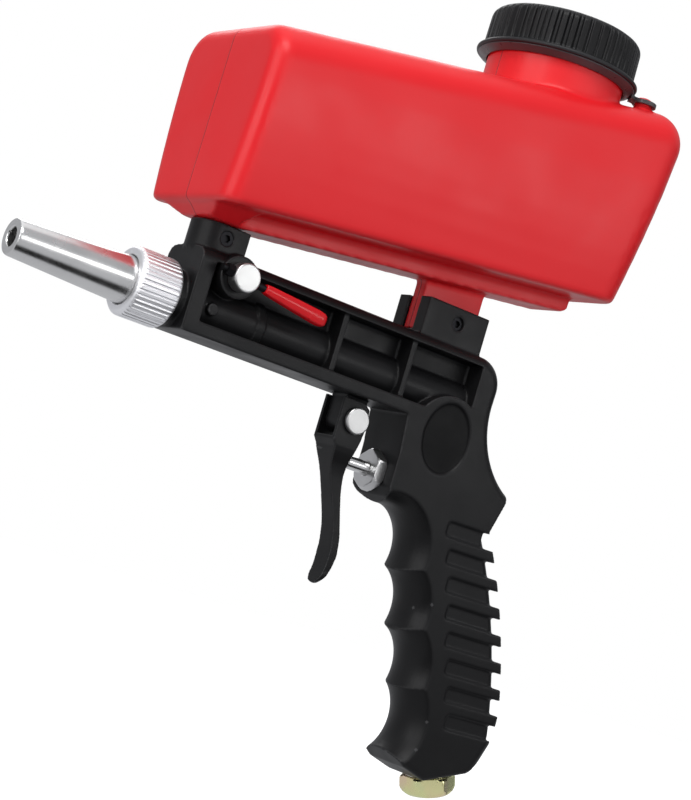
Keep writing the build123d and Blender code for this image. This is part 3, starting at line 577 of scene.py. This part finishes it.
def cap_ribs(angle):
    """Depth of the grip grooves round the cap: uneven pairs of narrow grooves."""
    across = (angle * rib_groups / (2 * math.pi)) % 1.0
    wander = 0.06 * math.sin(5 * angle) + 0.04 * math.sin(11 * angle + 1.0)
    first = math.exp(-((across - 0.30 - wander) / 0.07) ** 2)
    second = math.exp(-((across - 0.66 + wander) / 0.05) ** 2)
    return 0.00075 * first + 0.0005 * second


def ribbed(shrink, amount):
    """The cap's radius by angle: how far it shrinks from the skirt's, and how much of the ribs is left."""
    return lambda angle: skirt_radius - shrink - amount * cap_ribs(angle)


bore_radius = 0.0322
near_axis = 0.0004
cap_inside = cap_height - 0.0036
cap_top = cap_height - 0.0004
cap_rows = [
    (cap_inside, near_axis), (cap_inside, bore_radius), (0.0003, bore_radius), (0.0, bore_radius + 0.0004),
    (0.0, lip_radius - 0.0007), (0.0003, lip_radius - 0.0002), (0.0009, lip_radius),
    (0.0015, lip_radius - 0.0001), (0.0020, lip_radius - 0.0007), (0.0023, skirt_radius + 0.0009),
    (0.0025, skirt_radius + 0.0002), (0.0029, ribbed(-0.00005, 0.3)), (0.0034, ribbed(0.0, 1.0)),
    (cap_height * 0.5, ribbed(0.0001, 1.0)), (cap_height - 0.0042, ribbed(0.0002, 1.0)),
    (cap_height - 0.0034, ribbed(0.0003, 1.0)), (cap_height - 0.0026, ribbed(0.0005, 0.8)),
    (cap_height - 0.0018, ribbed(0.0010, 0.45)), (cap_height - 0.0010, ribbed(0.0018, 0.15)),
    (cap_height - 0.0004, ribbed(0.0030, 0.0)), (cap_height - 0.0001, ribbed(0.0045, 0.0)),
    (cap_height, ribbed(0.0065, 0.0)), (cap_top, 0.024), (cap_top, 0.023), (cap_top, near_axis),
]
cap_place = frame_along((cap_centre.x, cap_centre.y, cap_low.z), (0, 0, 1))
add_piece("cap_ribbed", turned("cap_ribbed", cap_rows, cap_place, rib_groups * rib_steps, closed=False),
          "cap_black", "cap_body", ["hopper_cap"], 45)

ring_low, ring_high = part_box("tether_ring")
ring_centre, ring_size = centre_and_size("tether_ring")
ring_radius = lip_radius - 0.0011
ring_rows = rounded([
    (0.0, bore_radius), (0.0, bore_radius + 0.0009), (ring_size.z - 0.0004, ring_radius),
    (ring_size.z, ring_radius), (ring_size.z, bore_radius),
], 0.0003)
ring_place = frame_along((ring_centre.x, ring_centre.y, ring_low.z), (0, 0, 1))
add_piece("ring_smooth", turned("ring_smooth", ring_rows, ring_place, 160),
          "tether_rubber", "cap_ring_body", ["tether_ring"], 45)


def tether_strap():
    """The flat strap from the ring down to its eye on the hopper's peg."""
    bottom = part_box("tether_strap")[0].z
    peg = Vector((0.2675, -0.022, 0.0))
    ring_middle = Vector((ring_centre.x, ring_centre.y, 0.0))
    toward = (ring_middle - peg).normalized()
    side = Vector((-toward.y, toward.x, 0.0))
    eye_radius = 0.0060
    hole_radius = 0.00415
    eye_opening = math.radians(38)
    eye_sweep = math.radians(284)
    steps = 40
    neck = 0.0034
    flare = 0.0016
    thickness = 0.0019
    lap_on_ring = 0.0009
    level_until = 0.003

    def round_peg(angle, radius):
        return peg + (toward * math.cos(angle) + side * math.sin(angle)) * radius

    outline = [round_peg(eye_opening + eye_sweep * number / steps, eye_radius) for number in range(steps + 1)]
    near = eye_radius * math.cos(eye_opening)
    far = (ring_middle - peg).length - ring_radius + lap_on_ring
    outward = (0.0, 0.25, 0.5, 0.75, 1.0)
    for sign, shares in ((-1, outward), (1, reversed(outward))):
        for share in shares:
            along = near + (far - near) * share
            outline.append(peg + toward * along + side * sign * (neck + flare * share))
    hole = [round_peg(2 * math.pi * number / steps, hole_radius) for number in range(steps)]

    shape = bmesh.new()
    edges = []
    for ring in [[shape.verts.new(point) for point in points] for points in (outline, hole)]:
        edges += [shape.edges.new((ring[n], ring[(n + 1) % len(ring)])) for n in range(len(ring))]
    bmesh.ops.triangle_fill(shape, edges=edges, use_beauty=True)
    grown = bmesh.ops.extrude_face_region(shape, geom=list(shape.faces))
    for item in grown["geom"]:
        if isinstance(item, bmesh.types.BMVert):
            item.co.z += thickness
    bmesh.ops.recalc_face_normals(shape, faces=shape.faces)
    rise = ring_high.z - 0.0022 - bottom
    for vert in shape.verts:
        flat = Vector((vert.co.x, vert.co.y, 0.0))
        climb = min(1.0, max(0.0, ((flat - peg).dot(toward) - level_until) / (far - level_until)))
        vert.co.z += bottom + 0.0001 + rise * climb * climb * (3 - 2 * climb)
    mesh = mesh_from(shape, "strap_flat")
    made = add_piece("strap_flat", mesh, "tether_rubber", None, ["tether_strap"], 40)
    bevel = made.modifiers.new("bevel", "BEVEL")
    bevel.width = 0.0004
    bevel.segments = 3
    bevel.limit_method = "ANGLE"
    settle_modifiers(made)
    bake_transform(made)


tether_strap()


# ------------------------------------------------------------------ hex fittings
# a hexagon's corner radius over its flat radius, and steps round it that land on its corners and flats
corner_ratio = 1.155
hex_steps = 180
# the stem, its spring and its gland nut lie on one line along X at this height
stem_height = -0.040


def hexagonal(across_flats, fade):
    """Radius of a hexagon by angle, cut back to a circle near its ends by the chamfer."""
    limit = across_flats / 2 * corner_ratio - fade

    def radius(angle):
        inside = (angle + math.pi / 6) % (math.pi / 3) - math.pi / 6
        corner = across_flats / 2 / math.cos(inside)
        return min(corner, limit)
    return radius


def gland_nut():
    """The gland nut: a chamfered hexagon, the stem's hole through it and a shank into the body."""
    flats = 0.0165
    height = 0.005
    hole = 0.00306
    hole_end = -0.0055
    shank = 0.006
    shank_end = -0.006
    rows = [
        (shank_end, shank - 0.0006), (shank_end + 0.0006, shank), (-0.0001, shank),
        (0.0, flats / 2 - 0.0008), (0.0001, hexagonal(flats, 0.0007)), (0.0005, hexagonal(flats, 0.0002)),
        (0.0009, hexagonal(flats, 0.0)), (height - 0.0010, hexagonal(flats, 0.0)),
        (height - 0.0006, hexagonal(flats, 0.0003)),
        (height - 0.0002, hexagonal(flats, 0.0008)), (height, hexagonal(flats - 0.0008, 0.0008)),
        (height, hole + 0.0006), (height - 0.0006, hole), (hole_end, hole),
    ]
    place = frame_along((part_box("gland_nut")[0].x + height, 0, stem_height), (-1, 0, 0), (0, 1, 0))
    return turned("gland_hex", rows, place, hex_steps)


# the inlet leans with the grip; its seat is the middle of the grip's lower end
lean = math.radians(19.35)
inlet_axis = Vector((math.sin(lean), 0, -math.cos(lean)))
inlet_seat = Vector((0.2727, 0, -0.1616))
inlet_place = frame_along(inlet_seat, inlet_axis, (0, 1, 0)) @ Matrix.Rotation(math.radians(30), 4, "Z")


def inlet_bushing():
    """The air inlet: a hexagon with a rounded lower end, a thread-sized hole and a shank up into the grip."""
    flats = 0.022
    half = flats / 2
    height = 0.0092
    shank = 0.008
    shank_end = -0.0142
    hole = 0.0057
    narrow_hole = 0.004
    rows = [
        (shank_end, shank - 0.0006), (shank_end + 0.0006, shank), (-0.0001, shank),
        (0.0, half - 0.0012), (0.0003, hexagonal(flats, 0.0014)), (0.0009, hexagonal(flats, 0.0004)),
        (0.0016, hexagonal(flats, 0.0)), (height - 0.0036, hexagonal(flats, 0.0)),
        (height - 0.0026, hexagonal(flats, 0.0004)),
        (height - 0.0017, hexagonal(flats, 0.0011)), (height - 0.0010, hexagonal(flats, 0.0020)),
        (height - 0.0004, half - 0.0012), (height - 0.0001, half - 0.0022), (height, half - 0.0036),
        (height, hole + 0.0007), (height - 0.0007, hole), (height - 0.0119, hole),
        (height - 0.0120, narrow_hole), (shank_end, narrow_hole),
    ]
    return turned("inlet_hex", rows, inlet_place, hex_steps)


washer_hole = 0.00805
washer_rim = 0.0104
washer_top = -0.00118
washer_foot = -0.00002
washer_rows = rounded([
    (washer_top, washer_hole), (washer_top, washer_rim),
    (washer_foot, washer_rim), (washer_foot, washer_hole),
], 0.00035)
add_piece("gland_hex", gland_nut(), "bright_nut", "gun", ["gland_nut"], 22)
add_piece("inlet_hex", inlet_bushing(), "zinc_yellow", "gun", ["inlet_bushing"], 32)
add_piece("inlet_washer_soft", turned("inlet_washer_soft", washer_rows, inlet_place, 96),
          "bright_nut", "gun", ["inlet_washer"], 45)

# ------------------------------------------------------------------ feed valve lever's sleeve
# the lever's rod starts beside the spool's head and drops toward the rear
drop = math.radians(6.5)
rod_axis = Vector((math.cos(drop), 0, -math.sin(drop)))
rod_origin = Vector((0.0945, -0.0197, 0.0154))
rod_place = frame_along(rod_origin, rod_axis, (0, 1, 0))


def lever_sleeve():
    """The dipped red sleeve on the lever: flattened, widening to a rounded end, with soft creases."""
    # each station is a distance along the rod, a half width and a half height; corners are shares of those
    stations = [
        (0.0105, 0.0019, 0.0021), (0.0110, 0.0023, 0.0024), (0.0125, 0.0025, 0.0026), (0.020, 0.0026, 0.0030),
        (0.030, 0.0028, 0.0034), (0.038, 0.0029, 0.0037), (0.0405, 0.0028, 0.0036), (0.0422, 0.0025, 0.0031),
        (0.0432, 0.0018, 0.0023), (0.0436, 0.0008, 0.0010),
    ]
    corners = [
        (1.0, 0.15), (0.72, 0.80), (0.0, 1.0), (-0.72, 0.80),
        (-1.0, 0.15), (-0.80, -0.70), (0.0, -1.0), (0.80, -0.70),
    ]
    creased_corners = (1, 3, 5, 7)
    crease_strength = 0.55
    shape = bmesh.new()
    rings = []
    for along, half_y, half_z in stations:
        points = [Vector((half_y * a, half_z * b, along)) for a, b in corners]
        rings.append([shape.verts.new(rod_place @ point) for point in points])
    skin(shape, rings)
    crease = shape.edges.layers.float.new("crease_edge")
    for number in creased_corners:
        line = [ring[number] for ring in rings]
        for first, second in zip(line, line[1:]):
            shape.edges.get((first, second))[crease] = crease_strength
    mesh = mesh_from(shape, "lever_sleeve")
    made = add_piece("lever_sleeve", mesh, "lever_red", None, ["lever_grip"], 60)
    rounder = made.modifiers.new("rounder", "SUBSURF")
    rounder.levels = 3
    rounder.render_levels = 3
    settle_modifiers(made)
    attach(made, "feed_valve")


lever_sleeve()


# ------------------------------------------------------------------ valve spring
def valve_spring():
    """The return spring's coils, in the place of the tube that they fill."""
    spring_low, spring_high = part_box("valve_spring")
    wire = 0.0005
    coil = 0.0039
    turns = 7
    steps = 32 * turns
    wire_sides = 8
    along_spring = Vector((1, 0, 0))
    length = spring_high.x - spring_low.x - 2 * wire
    wire_angles = [2 * math.pi * side / wire_sides for side in range(wire_sides)]
    shape = bmesh.new()
    rings = []
    for number in range(steps + 1):
        share = number / steps
        angle = 2 * math.pi * turns * share
        outward = Vector((0, math.cos(angle), math.sin(angle)))
        centre = Vector((spring_low.x + wire + length * share, 0, stem_height)) + outward * coil
        offsets = [(outward * math.cos(t) + along_spring * math.sin(t)) * wire for t in wire_angles]
        rings.append([shape.verts.new(centre + offset) for offset in offsets])
    skin(shape, rings)
    mesh = mesh_from(shape, "spring_coils")
    made = add_piece("spring_coils", mesh, "spring_steel", "gun", ["valve_spring"], 60)
    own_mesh(made)


valve_spring()


# ------------------------------------------------------------------ bright turned pieces
def bright_turned(name, node, axis, rows, slot, body):
    """A turned piece along X or Y in the place of a CAD node, from rows that start at its near end."""
    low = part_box(node)[0]
    centre = centre_and_size(node)[0]
    if axis == "X":
        place = frame_along((low.x, centre.y, centre.z), (1, 0, 0))
    else:
        place = frame_along((centre.x, low.y, centre.z), (0, 1, 0), (1, 0, 0))
    add_piece(name, turned(name, rows, place, 96, closed=False), slot, body, [node], 24)


def grooved(rows, radius, grooves, depth):
    """Rows carried on along a plain rod with square grooves in it."""
    result = list(rows)
    for start, end in grooves:
        result += [(start, radius), (start, radius - depth), (end, radius - depth), (end, radius)]
    return result


spool_radius = 0.0050
spool_head = [
    (0.0, 0.0051), (0.0, 0.0053), (0.0001, 0.0057), (0.0004, 0.00605), (0.0009, 0.0062), (0.0061, 0.0062),
    (0.0066, 0.0060), (0.0067, spool_radius),
]
spool_grooves = [(0.0135, 0.0155), (0.0310, 0.0330), (0.0382, 0.0392)]
spool_end = [(0.0402, spool_radius), (0.0406, 0.0046)]
spool_rows = grooved(spool_head, spool_radius, spool_grooves, 0.0010) + spool_end
pin_radius = 0.0025
pin_head = [
    (0.0, 0.0050), (0.0, 0.0052), (0.0001, 0.0055), (0.0004, 0.00585), (0.0009, 0.0060), (0.0018, 0.0060),
    (0.0022, 0.0057), (0.0022, pin_radius),
]
pin_grooves = [(0.0186, 0.0196)]
pin_end = [(0.0208, pin_radius), (0.0211, 0.0022)]
pin_rows = grooved(pin_head, pin_radius, pin_grooves, 0.0006) + pin_end
stem_rows = [
    (0.0, 0.0005), (0.0001, 0.0010), (0.0006, 0.0019), (0.0014, 0.0026), (0.0026, 0.0030), (0.0264, 0.0030),
    (0.02665, 0.0028), (0.02665, 0.0022), (0.0343, 0.0022),
]
bright_turned("spool_turned", "valve_spool", "Y", spool_rows, "bright_pin", "feed_valve")
bright_turned("pin_turned", "trigger_pin", "Y", pin_rows, "bright_pin", "gun")
bright_turned("stem_turned", "valve_stem", "X", stem_rows, "nozzle_steel", "stem_body")


# ------------------------------------------------------------------ floor and cards
floor_height = cad_box[0][2] - 0.0005
floor_radius = 5.0
card_black = dark_card()


def staged(name, shape, material, place):
    """Puts a mesh in the studio that is no part of the gun."""
    mesh = mesh_from(shape, name)
    mesh.materials.append(material)
    prop = bpy.data.objects.new(name, mesh)
    prop.location = place
    scene.collection.objects.link(prop)
    return prop


def reflected_card(name, place, size_x, size_y, upright):
    """A dark card that only reflections see, as a studio uses to draw dark lines on polished metal."""
    shape = bmesh.new()
    bmesh.ops.create_grid(shape, x_segments=1, y_segments=1, size=0.5)
    bmesh.ops.scale(shape, vec=(size_x, size_y, 1.0), verts=shape.verts)
    card = staged(name, shape, card_black, place)
    if upright:
        card.rotation_euler = (0, math.radians(90), 0)
    card.visible_camera = False
    card.visible_diffuse = False
    card.visible_shadow = False


floor_shape = bmesh.new()
bmesh.ops.create_circle(floor_shape, cap_ends=True, segments=96, radius=floor_radius)
staged("floor", floor_shape, white_floor(), (0, 0, floor_height))
reflected_card("card_under", (0.15, -0.125, floor_height + 0.0045), 1.0, 0.15, False)
reflected_card("card_beside", (1.2, -0.15, 0.0), 0.9, 0.5, True)

# ------------------------------------------------------------------ final update
bpy.context.view_layer.update()
